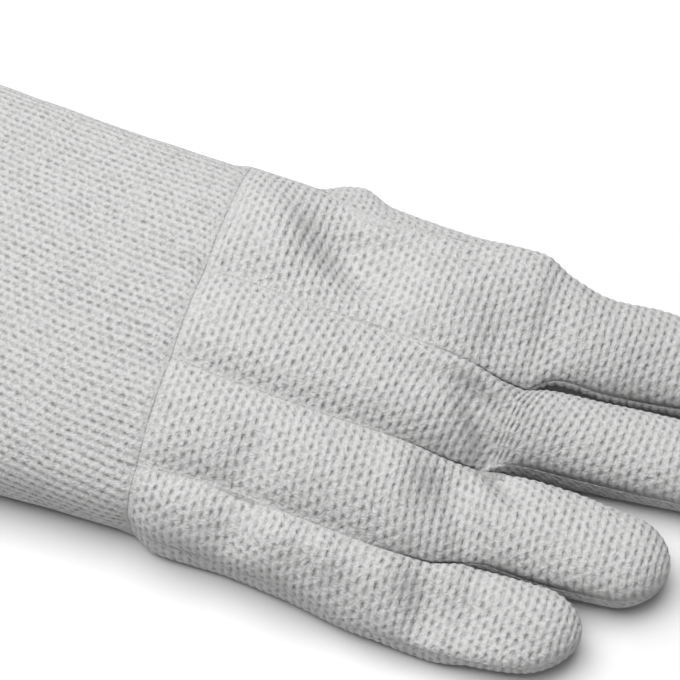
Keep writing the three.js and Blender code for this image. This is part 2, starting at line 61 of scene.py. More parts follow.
# Shares of the way from the wrist to the fork: where a strip's edges begin to part from their neighbours',
# where its seams turn upright, and the row in which its columns are spaced
FREE_START = 0.6
UPRIGHT_TURN = 0.78, 0.94
KNUCKLES = 0.7
# Mesh: spacing of the outer face's lines, which of them the inner face has, and points to measure a line by
STRIP_GRAIN = 0.56
INNER_STEP = 4
TRIAL_POINTS = 800


def table(columns, *rows):
    """Smooth lines through a table's rows: a function of its first column that gives the others."""
    names = columns.split()[1:]
    knots = np.array(rows, float)
    place, values = knots[:, 0], knots[:, 1:]
    step = np.diff(values, axis=0) / np.diff(place)[:, None]
    before, after = step[:-1], step[1:]
    both = np.where(before * after > 0, before + after, 1)
    inner = np.where(before * after > 0, 2 * before * after / both, 0)
    slope = np.vstack([step[:1], inner, step[-1:]])

    def at(where):
        i = np.clip(np.searchsorted(place, where, side="right") - 1, 0, len(place) - 2)
        span = (place[i + 1] - place[i])[..., None]
        s = np.clip((np.asarray(where, float)[..., None] - place[i][..., None]) / span, 0, 1)
        start, rise = values[i], values[i + 1] - values[i]
        pull, push = slope[i] * span, slope[i + 1] * span
        run = start + pull * s + (3 * rise - 2 * pull - push) * s**2 + (pull + push - 2 * rise) * s**3
        return dict(zip(names, np.moveaxis(run, -1, 0)))

    return at


INDEX_SEAM = table("y x z", (0, -84, 45), (28, -81, 45), (52, -72.5, 48), (84, -74, 45), (113, -79, 41),
                   (124, -77, 33.5), (136, -76, 26.5), (160, -81.5, 19), (193, -83, 12))
VALLEYS = [
    table("y x z", (0, -30, 51.5), (12, -29.5, 52), (44, -27, 51), (73, -26.5, 48), (97, -26, 42),
          (110, -26.5, 35), (119.5, -29, 28)),
    table("y x z", (0, 7, 48.5), (24, 9.5, 46.5), (56, 10.5, 42.5), (84, 9, 36.5), (102, 7, 28),
          (112.5, 4, 21.5)),
    table("y x z", (0, 45.5, 36), (26, 44.5, 34.5), (52, 46.5, 32.5), (81, 47.5, 28), (104, 45, 21.5),
          (115.5, 39.5, 17)),
]
LITTLE_SEAM = table("y x z", (0, 56.5, 17), (9, 60.5, 14.5), (30, 61, 13), (60, 65.5, 12), (90, 71, 11),
                    (118, 72.5, 11), (135, 71.5, 10.5), (161, 66, 10))
FORKS = [{"y": 119.5, "z": 28}, {"y": 112.5, "z": 21.5}, {"y": 115.5, "z": 17}]
FINGERS = ["index", "middle", "ring", "little"]
TIPS = [193, 203, 184.5, 161.5]
FINGER_SEAMS = {
    (0, 1): table("y x z", (119.5, -29, 28), (128, -36, 28), (146, -39.5, 22), (168, -45.5, 15),
                  (193, -50, 12)),
    (1, 0): table("y x z", (119.5, -29, 28), (128, -35, 22), (146, -38.5, 15.5), (170, -41, 12.5),
                  (203, -42, 11.5)),
    (1, 1): table("y x z", (112.5, 4, 21.5), (122, -2.5, 20), (142, -6, 15), (170, -8, 12.5),
                  (203, -10, 11.5)),
    (2, 0): table("y x z", (112.5, 4, 21.5), (122, -0.5, 16), (142, -1, 12.5), (164, 1.5, 11.5),
                  (184, 3, 11)),
    (2, 1): table("y x z", (115.5, 39.5, 17), (124, 37.2, 15.5), (142, 37.2, 12.5), (164, 36.3, 11.5),
                  (184, 34, 11)),
    (3, 0): table("y x z", (115.5, 39.5, 17), (124, 38.5, 13.5), (142, 38.5, 11.5), (161, 38, 10.5)),
}
CROWNS = [
    table("y rise", (0, 5), (9, 7), (22, 7), (34, 6.5), (54, 6.5), (84, 7), (104, 9), (118, 11), (136, 13),
          (160, 12.5), (193, 12)),
    table("y rise", (0, 3), (15, 5), (60, 6), (90, 7.5), (102, 8.5), (112, 10), (120, 11.5), (130, 12.5),
          (150, 13), (203, 12.5)),
    table("y rise", (0, 4), (15, 5.5), (60, 6.5), (92, 8), (102, 9), (112, 10.5), (118, 11.5), (128, 12),
          (150, 12), (185, 11.5)),
    table("y rise", (0, 5), (15, 7.5), (60, 8.5), (90, 9), (104, 9.5), (114, 10), (128, 11), (162, 11)),
]
# Dents and folds: centre, turn of the long axis from +X in degrees, half length, half width, and depth,
# which is negative for a ridge.
DENTS = [
    (-55, 45, 48, 19, 12, 9), (-56, 19, 40, 18, 10, -4), (-50, 60, 45, 22, 20, 8),
    (-66, 88, 97, 34, 3, 2.6), (-42, 106, 20, 16, 11, 5), (-41, 122, 15, 15, 16, 4.5),
    (-45, 78, 20, 14, 8, -1.5), (0, 115, 44, 17, 6.5, 10), (-15, 103, 80, 10, 5, 4),
    (-21, 103, 82, 16, 4.5, -5.5), (-14, 86, 78, 12, 4.5, 2.5), (20, 105, 12, 13, 9, 6.5),
    (34, 116, 30, 12, 7, 4), (22, 88, 10, 12, 7, -1.5), (37, 37, -5, 10, 8, 4), (28, 62, 60, 16, 9, -1.5),
    (57, 38, -10, 11, 8, 5), (59, 55, 10, 10, 8, -2.5), (69, 78, 70, 17, 6, 5), (58, 71, 0, 9, 6, -2),
    (60, 107, 10, 15, 6.5, 5), (57, 121, 0, 15, 13, 4), (65, 125, 88, 36, 12, 5), (54, 92, 0, 10, 7, -1.5),
]


def smooth(value, start, end):
    s = np.clip((value - start) / (end - start), 0, 1)
    return s * s * (3 - 2 * s)


def mix(a, b, share):
    return a + (b - a) * share


def point(x, y, z):
    return np.stack(np.broadcast_arrays(x, y, z), axis=-1)


def tip_turn(v):
    """How far round the fingertip a row lies; v is 0 to 1 up to the fork, then 1 to 2."""
    return np.maximum(0, (v - 1 - STRAIGHT_SHARE) / (1 - STRAIGHT_SHARE)) * math.pi / 2


def place_along(finger, side, v):
    """Distance from the wrist of a row, measured at one side of a finger."""
    fork = FORKS[min(max(finger + side - 1, 0), 2)]["y"]
    straight = mix(fork, TIPS[finger] - FINGERTIP_LENGTH, (v - 1) / STRAIGHT_SHARE)
    rounded = TIPS[finger] - FINGERTIP_LENGTH * (1 - np.sin(tip_turn(v)))
    return np.where(v <= 1, v * fork, np.where(tip_turn(v) == 0, straight, rounded))


def outer_seam(finger, side, y):
    return {(0, 0): INDEX_SEAM, (3, 1): LITTLE_SEAM}[finger, side](y)


def top_edge(finger, side, v, depth):
    """Seam at one side of a finger's strip, on the cloth's outer face at depth 0."""
    y = place_along(finger, side, v)
    outward = -1 if side == 0 else 1
    turn = np.full_like(v, math.pi / 2)
    if (finger, side) in FINGER_SEAMS:
        valley, seam = VALLEYS[finger + side - 1](y), FINGER_SEAMS[finger, side](y)
        at = {name: np.where(v <= 1, valley[name], seam[name]) for name in "xz"}
        turn = np.where(v <= 1, turn * smooth(v, *UPRIGHT_TURN), turn)
    else:
        at = outer_seam(finger, side, y)
    return point(at["x"] - outward * depth * np.sin(turn), y, at["z"] - depth * np.cos(turn))


def close_tip(left, right, v, depth):
    """Pulls both seams of a finger together round its tip; returns the share of the width that is left."""
    turn = tip_turn(v)
    shrink = np.where(v >= 2, 0, np.cos(turn))
    middle = (left + right) / 2
    for edge in (left, right):
        for axis in (0, 2):
            edge[..., axis] = mix(middle[..., axis], edge[..., axis], shrink)
        edge[..., 1] -= depth * np.sin(turn)
    return shrink


def dent_depth(x, y):
    """How far the dents and folds sink the cloth at a place."""
    total = 0
    for centre_x, centre_y, turn, half_length, half_width, depth in DENTS:
        cos, sin = math.cos(math.radians(turn)), math.sin(math.radians(turn))
        along = ((x - centre_x) * cos + (y - centre_y) * sin) / half_length
        across = ((y - centre_y) * cos - (x - centre_x) * sin) / half_width
        total = total + depth * np.exp(-along * along - across * across)
    return total


def wrist_groove(y):
    """How far the stitches pull the cloth down on either side of the wrist seam."""
    return WRIST_GROOVE * np.exp(-(y / GROOVE_WIDTH) ** 2)


def back_point(finger, t, v, depth, folds=1):
    """Point on a back strip; t runs 0 to 1 across it, from its seam nearest the index side."""
    left, right = top_edge(finger, 0, v, depth), top_edge(finger, 1, v, depth)
    face_left, face_right = top_edge(finger, 0, v, 0), top_edge(finger, 1, v, 0)
    lowered = (face_left + face_right - left - right)[..., 2] / 2
    shrink = close_tip(left, right, v, depth)
    theta = math.pi * t
    at = mix(left, right, ((1 - np.cos(theta)) / 2)[..., None])
    free = smooth(v, FREE_START, 1)
    bow = mix(1 - np.abs(np.cos(theta)) ** STRIP_BOW, np.sin(theta) ** FINGER_FULLNESS, free)
    rise = (CROWNS[finger](at[..., 1])["rise"] - depth + lowered) * shrink * bow
    inside = {0: t > 0.5, 3: t < 0.5}.get(finger, True) * (1 - free) * (1 - bow)
    rise = rise - inside * VALLEY_ROUND * (1 - np.exp(-rise / VALLEY_ROUND))
    lean = np.stack([left[..., 2] - right[..., 2], 0 * theta, right[..., 0] - left[..., 0]], axis=-1)
    lean /= np.maximum(np.linalg.norm(lean, axis=-1, keepdims=True), 1e-9)
    at = at + lean * rise[..., None]
    sunk = dent_depth(at[..., 0], at[..., 1]) * folds + wrist_groove(at[..., 1])
    at[..., 2] -= sunk * np.sin(theta) ** DENT_SPREAD * shrink
    return at


def arc(points, axis):
    """Length along a grid's lines from their first point."""
    gaps = np.linalg.norm(np.diff(points, axis=axis), axis=-1)
    pad = [(0, 0), (0, 0)]
    pad[axis] = (1, 0)
    return np.pad(np.cumsum(gaps, axis=axis), pad)


def even(line, start, end, grain):
    """Values from start to end at which line(values) has points a grain apart, a multiple of INNER_STEP."""
    trial = np.linspace(start, end, TRIAL_POINTS)
    run = arc(line(trial)[None], 1)[0]
    count = INNER_STEP * math.ceil(run[-1] / grain / INNER_STEP)
    return np.interp(np.linspace(0, run[-1], count + 1), run, trial)


def rows_of(grid_of, v, t):
    """Points of a grid with a row for each v and a column for each t."""
    t, v = np.meshgrid(t, v)
    return grid_of(t, v)


class Shell:
    """Closed wall of cloth: a fine outer face, a plain inner face with every fourth line, and its rims."""

    def __init__(self):
        self.points, self.weave, self.faces = [], [], []
        self.known, self.inner_of, self.outer = {}, {}, set()
        self.width = self.length = self.area = self.rims = 0

    def number(self, grid, weave, face):
        """Numbers of a grid's points; one that another grid has too is shared."""
        numbers = []
        keys = np.round(grid, 3).reshape(-1, 3).tolist()
        for place, values, key in zip(grid.reshape(-1, 3).tolist(), weave.reshape(-1, 3).tolist(), keys):
            key = (face, *key)
            if key not in self.known:
                self.known[key] = len(self.points)
                self.points.append(place)
                self.weave.append(values)
            numbers.append(self.known[key])
        return np.array(numbers).reshape(grid.shape[:2])

    def grid(self, outer, inner, weave, hole=None):
        """Adds a panel; weave has the cloth's two lengths and the distance to the nearest seam."""
        fine = self.number(outer, weave, "outer")
        plain = weave[::INNER_STEP, ::INNER_STEP] * (1, 1, 0)
        coarse = self.number(inner, plain, "inner")
        self.outer.update(fine.ravel().tolist())
        backed = fine[::INNER_STEP, ::INNER_STEP].ravel().tolist()
        self.inner_of.update(zip(backed, coarse.ravel().tolist()))
        for lines, size in ((fine, 1), (coarse, INNER_STEP)):
            cells = np.stack([lines[:-1, :-1], lines[:-1, 1:], lines[1:, 1:], lines[1:, :-1]], axis=-1)
            if hole is not None:
                keep = np.ones(cells.shape[:2], bool)
                rows, columns = (slice(a // size, b // size) for a, b in hole)
                keep[rows, columns] = False
                cells = cells[keep]
            for cell in cells.reshape(-1, 4).tolist():
                cell = list(dict.fromkeys(cell))
                if len(cell) > 2:
                    self.faces.append(cell if size == 1 else cell[::-1])
        across, along = arc(outer, 1), arc(outer, 0)
        self.width, self.length = self.width + across[:, -1].max(), max(self.length, along[-1].max())
        edges = np.diff(across, axis=1)[:-1], np.diff(along, axis=0)[:, :-1]
        self.area += (edges[0] * edges[1]).sum()

    def close_rims(self):
        """Joins the outer face's open edges to the inner face's."""
        edges = {pair for face in self.faces for pair in zip(face, face[1:] + face[:1])}
        sides = {(a, b) for a, b in edges if a in self.outer}
        ahead = {a: b for a, b in sides if (b, a) not in sides}
        for start in [a for a in ahead if a in self.inner_of]:
            run = [start, ahead[start]]
            while run[-1] not in self.inner_of:
                run.append(ahead[run[-1]])
            self.faces.append([self.inner_of[start], self.inner_of[run[-1]], *run[::-1]])
            self.rims += 1

    def sew(self, name, cloth, relief, *nodes):
        """Makes the panel's piece, with the woven relief on its outer face."""
        self.close_rims()
        mesh = bpy.data.meshes.new(name)
        mesh.from_pydata(((np.array(self.points) + HOME) / 1000).tolist(), [], self.faces)
        stored = mesh.attributes.new("weave", "FLOAT_VECTOR", "POINT")
        stored.data.foreach_set("vector", np.array(self.weave, np.float32).ravel())
        walls = len(self.faces) - self.rims
        mesh.polygons.foreach_set("use_smooth", [k < walls for k in range(len(self.faces))])
        rough = bpy.data.objects.new(name, mesh)
        bpy.context.collection.objects.link(rough)
        add_relief(rough, cloth, relief)
        return settle(rough, *nodes)


class Wire:
    """Output of a node that can stand in sums with numbers and other wires."""

    def __init__(self, tree, socket):
        self.tree, self.socket = tree, socket

    def math(self, operation, *values):
        return node(self.tree, "ShaderNodeMath", {"operation": operation}, dict(enumerate(values)))

    def __add__(self, other):
        return self.math("ADD", self, other)

    def __sub__(self, other):
        return self.math("SUBTRACT", self, other)

    def __rsub__(self, other):
        return self.math("SUBTRACT", other, self)

    def __mul__(self, other):
        return self.math("MULTIPLY", self, other)

    def __truediv__(self, other):
        return self.math("DIVIDE", self, other)

    def __pow__(self, power):
        return self.math("POWER", self, power)

    def cos(self):
        return self.math("COSINE", self)

    def smooth(self, start, end):
        """0 up to start and 1 from end on, with a soft run between."""
        settings = {"interpolation_type": "SMOOTHSTEP"}
        values = {"Value": self, "From Min": start, "From Max": end}
        return node(self.tree, "ShaderNodeMapRange", settings, values)

    def parts(self):
        """The three numbers of a vector."""
        made = node(self.tree, "ShaderNodeSeparateXYZ", {}, {0: self}).socket.node
        return [Wire(self.tree, output) for output in made.outputs]

    __radd__, __rmul__ = __add__, __mul__


def node(tree, kind, settings=None, values=None, out=0):
    """Adds a node with its settings, then its inputs' values or wires, and returns one of its outputs."""
    made = tree.nodes.new(kind)
    for name, value in (settings or {}).items():
        setattr(made, name, value)
    for name, value in (values or {}).items():
        if isinstance(value, Wire):
            tree.links.new(value.socket, made.inputs[name])
        else:
            made.inputs[name].default_value = value
    return Wire(tree, made.outputs[out]) if made.outputs else made


def lattice(across, along):
    """The yarns' height, up to 1, and the slits between them; every second row is set over."""
    crossing = (across * (2 * math.pi)).cos() * (along * math.pi).cos()
    row = (along * (2 * math.pi)).cos()
    height = crossing * 0.42 - row * 0.58
    long_power, narrow_power = 1.3, 4
    slit = (0.5 - crossing * 0.5) ** long_power * (row * 0.5 + 0.5) ** narrow_power
    return height, slit


def relief_tree():
    """Geometry Nodes that lift the cloth's outer face by its weave and by slow waves of slack cloth."""
    tree = bpy.data.node_groups.new("woven relief", "GeometryNodeTree")
    tree.interface.new_socket("Geometry", in_out="OUTPUT", socket_type="NodeSocketGeometry")
    tree.interface.new_socket("Geometry", in_out="INPUT", socket_type="NodeSocketGeometry")
    names = "Pitch Across", "Pitch Along", "Height", "Slit Depth", "Wander", "Slack", "Seam Fade", "Seed"
    for name in names:
        tree.interface.new_socket(name, in_out="INPUT", socket_type="NodeSocketFloat")
    tree.interface.new_socket("Material", in_out="INPUT", socket_type="NodeSocketMaterial")

    def given(name):
        return node(tree, "NodeGroupInput", out=name)

    def noise(size, seed):
        """Soft noise about zero, with spots of a size in millimetres."""
        place = node(tree, "GeometryNodeInputPosition")
        values = {"Vector": place, "W": given("Seed") + seed, "Scale": 1000 / size, "Detail": 1.0}
        return node(tree, "ShaderNodeTexNoise", {"noise_dimensions": "4D"}, values) - 0.5

    stored = {"data_type": "FLOAT_VECTOR"}
    across, along, seam = node(tree, "GeometryNodeInputNamedAttribute", stored, {"Name": "weave"}).parts()
    long_way, short_way, short_share = 22, 5, 0.5
    across = across + (noise(long_way, 0) + noise(short_way, 3) * short_share) * given("Wander")
    along = along + (noise(long_way, 7) + noise(short_way, 11) * short_share) * given("Wander")
    across, along = across / given("Pitch Across"), along / given("Pitch Along")
    height, slit = lattice(across, along)
    uneven = noise(6, 17) * 1.2 + 1
    lift = height * given("Height") * uneven - slit * given("Slit Depth")
    wave_size, wave_fade = 32, 9.0
    slack = noise(wave_size, 23) * given("Slack") * seam.smooth(0.0, wave_fade)
    lift = lift * seam.smooth(0.0, given("Seam Fade")) + slack
    normal = node(tree, "GeometryNodeInputNormal")
    offset = node(tree, "ShaderNodeVectorMath", {"operation": "SCALE"}, {0: normal, "Scale": lift / 1000})
    moved = node(tree, "GeometryNodeSetPosition", {}, {"Geometry": given("Geometry"), "Offset": offset})
    weave = node(tree, "ShaderNodeCombineXYZ", {}, {0: across, 1: along, 2: seam})
    kept = node(tree, "GeometryNodeStoreNamedAttribute", {"data_type": "FLOAT_VECTOR", "domain": "POINT"},
                {"Geometry": moved, "Name": "weave", "Value": weave})
    whole = node(tree, "GeometryNodeRealizeInstances", {}, {"Geometry": kept})
    dressed = node(tree, "GeometryNodeSetMaterial", {}, {"Geometry": whole, "Material": given("Material")})
    node(tree, "NodeGroupOutput", {}, {"Geometry": dressed})
    return tree


RELIEF = relief_tree()


def add_relief(piece, material, values):
    modifier = piece.modifiers.new("relief", "NODES")
    modifier.node_group = RELIEF
    for item in RELIEF.interface.items_tree:
        if item.in_out == "INPUT" and item.name != "Geometry":
            modifier[item.identifier] = material if item.name == "Material" else values[item.name]


def settle(rough, *nodes):
    """Turns an object with a Geometry Nodes modifier into a plain piece that stands for CAD nodes."""
    evaluated = rough.evaluated_get(bpy.context.evaluated_depsgraph_get())
    mesh = bpy.data.meshes.new_from_object(evaluated)
    rough.modifiers.clear()
    piece = bpy.data.objects.new(rough.name + "_piece", mesh)
    name = rough.name
    bpy.data.objects.remove(rough)
    piece.name = mesh.name = name
    bpy.context.collection.objects.link(piece)
    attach(piece, "root")
    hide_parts(*nodes)
    return piece


def cloth_material(name, light, dark):
    """Coarse grey yarn with painted light: a painted highlight where the yarns stand up and painted shade
    down in the holes between them.
    """
    material = bpy.data.materials.new(name)
    material.use_nodes = True
    tree = material.node_tree
    tree.nodes.clear()
    place = node(tree, "ShaderNodeTexCoord", out="Object")
    weave = node(tree, "ShaderNodeAttribute", {"attribute_name": "weave"}, out="Vector")
    across, along, seam = weave.parts()

    def noise(size, detail):
        """Noise about 0.5, with spots of a size in millimetres."""
        values = {"Vector": place, "Scale": 1000 / size, "Detail": detail, "Roughness": 0.6}
        return node(tree, "ShaderNodeTexNoise", {}, values)

    height, slit = lattice(across, along)
    woven = seam.smooth(0.2, 2.0)
    open_slits = noise(3, 1.0).smooth(0.3, 0.7)
    slit = slit * woven * open_slits
    # Painted highlight on the yarns' crowns and painted shade in the open slits between them, both faded
    # out towards the seams
    yarns = (height.smooth(-0.7, 0.6) * 0.4 - slit * 0.5 - 0.12) * woven
    speckle = noise(1.3, 2.0) - 0.5
    patches = noise(9, 2.0) - 0.5
    tone = yarns + speckle * 1.9 + patches * 0.3 + 0.64
    shades = {"Factor": tone, 6: dark, 7: light}
    colour = node(tree, "ShaderNodeMix", {"data_type": "RGBA", "clamp_factor": True}, shades, out=2)
    fibre = noise(0.5, 3.0) * 0.4 + noise(1.4, 2.0) - slit * 0.5
    bump = node(tree, "ShaderNodeBump", {}, {"Strength": 1.0, "Distance": 0.0009, "Height": fibre})
    soft = {"Roughness": 0.93, "Sheen Weight": 0.12, "Sheen Roughness": 0.5}
    surface = node(tree, "ShaderNodeBsdfPrincipled", {}, {"Base Color": colour, "Normal": bump, **soft})
    node(tree, "ShaderNodeOutputMaterial", {}, {"Surface": surface})
    return material


HAND_WEAVE = {"Pitch Across": 4.45, "Pitch Along": 3.07, "Height": 0.28, "Slit Depth": 0.35, "Wander": 2.2,
              "Slack": 1.4, "Seam Fade": 1.8, "Seed": 3.0}
hand_cloth = cloth_material("hand_cloth", light=(0.46, 0.46, 0.458, 1), dark=(0.275, 0.275, 0.273, 1))
# Place in the part's frame of the tables' x = 0 at the wrist seam, from the low corner of the cuff's box
WRIST_FROM_CORNER = 110, 150, 0
HOME = np.array(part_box("cuff")[0]) * 1000 + WRIST_FROM_CORNER

strips = []
for finger, name in enumerate(FINGERS):
    spans = [even(lambda v: back_point(finger, np.full_like(v, 0.5), v, 0), start, start + 1, STRIP_GRAIN)
             for start in range(2)]
    v = np.concatenate([spans[0], spans[1][1:]])
    t = even(lambda t: back_point(finger, t, np.full_like(t, KNUCKLES), 0), 0, 1, STRIP_GRAIN)
    outer = rows_of(lambda t, v: back_point(finger, t, v, 0), v, t)
    inner = rows_of(lambda t, v: back_point(finger, t, v, CLOTH), v[::INNER_STEP], t[::INNER_STEP])
    plain = rows_of(lambda t, v: back_point(finger, t, v, 0, folds=0), v, t)
    across, along = arc(plain, 1), arc(plain, 0).mean(axis=1, keepdims=True)
    width = across[:, -1:]
    seam = np.minimum(np.minimum(across, width - across), along * WRIST_FADE)
    shell = Shell()
    shell.grid(outer, inner, point(across - width / 2, along, seam))
    relief = {**HAND_WEAVE, "Seed": 3.0 + finger}
    strip = shell.sew(f"back_{name}_cloth", hand_cloth, relief, f"back_{name}")
    strips.append((strip, shell))

for strip, shell in strips:
    shell.width / 1000

# Palm. One piece of the same cloth makes the palm and the fronts of the four fingers. It lies flat on the
# surface, climbs to each fork between two fingers, and stands higher on the index side, where the thumb is
# tucked beneath it.
# Climb of the cloth to a fork: its length, its curve and how it spreads to the middle of a finger
WEB_LENGTH = 13
WEB_CURVE = 1.4
WEB_SPREAD = 0.5
PALM_FULLNESS = 0.8
SEAM_LEAN = 0.5
PALM_GRAIN = 0.75
# Row past the fork in which the two middle fingers' columns are spaced, the row where the palm begins to
# narrow to the fork, and a distance to a seam that stands for none
PAST_FORK = 1.2
WEB_START = 0.85
NO_SEAM = 99
UNDERSIDE = [
    table("y x z", (0, -30, 0), (9, -30, 1), (22, -29, 9), (42, -27, 21.5), (100, -27, 21.5),
          (119.5, -29, 17)),
    table("y x z", (0, 7, 0), (60, 9, 0), (112.5, 4, 0)),
    table("y x z", (0, 45.5, 0), (60, 46, 0), (115.5, 39.5, 0)),
]
BELLIES = [
    table("y drop bulge floor", (0, 24, 3, 0), (9, 24, 4, 1), (22, 22, 9, 9), (34, 18, 21, 16.5),
          (42, 15, 23.5, 21.5), (54, 14, 19, 21.5), (84, 13, 14, 21.5), (104, 12, 10, 20.5),
          (118, 12, 7, 12), (136, 13, 2, 5), (160, 14, 0, 0), (193, 13, 0, 0)),
    table("y drop bulge floor", (0, 0, 0, 0), (60, 0, 0, 0), (90, 2, 0, 0), (102, 14, 0, 0),
          (112, 22, 0, 0), (120, 24, 0, 0), (130, 18, 0, 0), (150, 16, 0, 0), (203, 13, 0, 0)),
    table("y drop bulge floor", (0, 0, 0, 0), (60, 0, 0, 0), (92, 2, 0, 0), (102, 14, 0, 0),
          (112, 22, 0, 0), (118, 20, 0, 0), (128, 15, 0, 0), (150, 13.5, 0, 0), (185, 12.5, 0, 0)),
    table("y drop bulge floor", (0, 12, 0, 0), (15, 12, 1, 0), (60, 11, 1, 0), (90, 11, 1, 0),
          (104, 15, 1, 0), (114, 18, 1, 0), (128, 13, 0, 0), (162, 12, 0, 0)),
]
# The thumb's hole in the index finger's share, from 0 to 1 along and across it
THUMB_HOLE = (1 / 13, 4 / 13), (3 / 8, 6 / 8)


def palm_edge(finger, side, v, depth):
    """Edge of a finger's share: the outer seam, or the line under the valley up to the fork."""
    y = place_along(finger, side, v)
    outward = -1 if side == 0 else 1
    if (finger, side) not in FINGER_SEAMS:
        at = outer_seam(finger, side, y)
        lean = depth * math.sin(SEAM_LEAN)
        return point(at["x"] - outward * depth * math.cos(SEAM_LEAN), y, at["z"] - lean)
    gap = finger + side - 1
    climb = smooth(y, FORKS[gap]["y"] - WEB_LENGTH, FORKS[gap]["y"]) ** WEB_CURVE
    under, seam = UNDERSIDE[gap](y), FINGER_SEAMS[finger, side](y)
    z = mix(under["z"], FORKS[gap]["z"], climb) + depth * (1 - climb)
    flat = point(under["x"], y - depth * climb, z)
    upright = point(seam["x"] - outward * depth, y, seam["z"])
    return np.where(v[..., None] <= 1, flat, upright)


def under_point(finger, t, v, depth):
    """Point on the cloth under one finger's strip."""
    left, right = palm_edge(finger, 0, v, depth), palm_edge(finger, 1, v, depth)
    shrink = close_tip(left, right, v, depth)
    theta = math.pi * t
    bow = np.sin(theta).clip(0)
    across = (1 - np.cos(theta)) / 2
    at = mix(left, right, across[..., None])
    level = mix(place_along(finger, 0, v), place_along(finger, 1, v), across)
    at[..., 1] = np.where(v <= 1, mix(at[..., 1], level, bow**WEB_SPREAD), at[..., 1])
    belly = BELLIES[finger](at[..., 1])
    drop = belly["drop"]
    lowest = np.maximum(0, drop - np.where(drop > CLOTH, depth * bow, 0))
    at[..., 2] -= lowest * shrink * bow**PALM_FULLNESS
    inside = (t > 0) & (t < 1)
    at[..., 2] = np.where(inside, np.maximum(at[..., 2], belly["floor"] + depth), at[..., 2])
    outside = {0: t < 0.5, 3: t > 0.5}.get(finger, False)
    at[..., 0] -= np.where(outside, belly["bulge"] * np.sin(2 * theta), 0)
    return at


def nearest_line(values, wanted):
    """Number of the value nearest to the wanted one, among those where the inner face has a line."""
    lines = np.arange(0, len(values), INNER_STEP)
    return int(lines[np.abs(values[lines] - wanted).argmin()])


palm = Shell()
up_to_fork = even(lambda v: under_point(1, np.full_like(v, 0.5), v, 0), 0, 1, PALM_GRAIN)
reach = np.zeros((len(up_to_fork), 1))
for finger, name in enumerate(FINGERS):
    past_fork = even(lambda v: under_point(finger, np.full_like(v, 0.5), v, 0), 1, 2, PALM_GRAIN)
    v = np.concatenate([up_to_fork, past_fork[1:]])
    row = PAST_FORK if finger in (1, 2) else KNUCKLES
    t = even(lambda t: under_point(finger, t, np.full_like(t, row), 0), 0, 1, PALM_GRAIN)
    outer = rows_of(lambda t, v: under_point(finger, t, v, 0), v, t)
    inner = rows_of(lambda t, v: under_point(finger, t, v, CLOTH), v[::INNER_STEP], t[::INNER_STEP])
    across, along = arc(outer, 1), arc(outer, 0)
    width = across[:, -1:]
    open_left = (v > 1)[:, None] | (finger == 0)
    open_right = (v > 1)[:, None] | (finger == 3)
    to_left = np.where(open_left, across, NO_SEAM)
    to_right = np.where(open_right, width - across, NO_SEAM)
    seam = np.minimum(np.minimum(to_left, to_right), along * WRIST_FADE)
    before_web = np.minimum(np.arange(len(v)), np.searchsorted(v, WEB_START))
    fixed = {0: 0, 3: 1}.get(finger, 0.5)
    start = reach[before_web] + (width[before_web] - width) * fixed
    hole = None
    if finger == 0:
        hole = [[nearest_line(values, edge) for edge in edges] for values, edges in zip((v, t), THUMB_HOLE)]
        hole_at = [(values[low], values[high]) for values, (low, high) in zip((v, t), hole)]
    palm.grid(outer[:, ::-1], inner[:, ::-1], point(start + across, along, seam)[:, ::-1],
              hole and [hole[0], [len(t) - 1 - edge for edge in hole[1][::-1]]])
    reach = reach + width[:len(up_to_fork)]
palm_cloth = palm.sew("palm_cloth", hand_cloth, {**HAND_WEAVE, "Seed": 9.0}, "palm",
                      *[f"front_{name}" for name in FINGERS])
palm.width / 1000

# Thumb. A tube of the same cloth, with a round tip like the fingers', is sewn round the hole in the palm
# and lies flat beneath the hand.
THUMB = table("y x half height", (47, -56.5, 18, 20), (62, -57, 17.5, 20.4), (82, -57, 17, 20.2),
              (114, -56, 16, 18.5))
THUMB_START, THUMB_TIP = 47, 114
THUMB_FLAT = 0.75
# How far the tube laps over the hole's rim and stands off the palm's cloth
THUMB_LAP = 0.65
THUMB_LIFT = 0.35
THUMB_GRAIN = 0.8
RIM_POINTS = 200
# Row on the tube in which its columns are spaced, and the column in which its rows are
TUBE_ROW = 1.2
TUBE_COLUMN = 1.0


def bent(value, power):
    """Power of a cosine or sine that keeps its sign, which turns a circle into a rounded box."""
    return np.sign(value) * np.abs(value) ** power


def hole_rim(turn):
    """Point on the rim of the thumb's hole; turn runs 0 to 4 along its four sides."""
    side, share = np.floor(turn % 4).astype(int), turn % 1
    (v_low, v_high), (t_low, t_high) = hole_at
    v = np.choose(side, [v_low, mix(v_low, v_high, share), v_high, mix(v_high, v_low, share)])
    t = np.choose(side, [mix(t_low, t_high, share), t_high, mix(t_high, t_low, share), t_low])
    return under_point(0, t, v, 0)


corners = hole_rim(np.arange(4.0))
rim_middle = hole_rim(np.linspace(0, 4, RIM_POINTS, endpoint=False)).mean(axis=0)
rim_out = np.cross(corners[2] - corners[1], (1, 0, 0))
rim_out /= np.linalg.norm(rim_out)


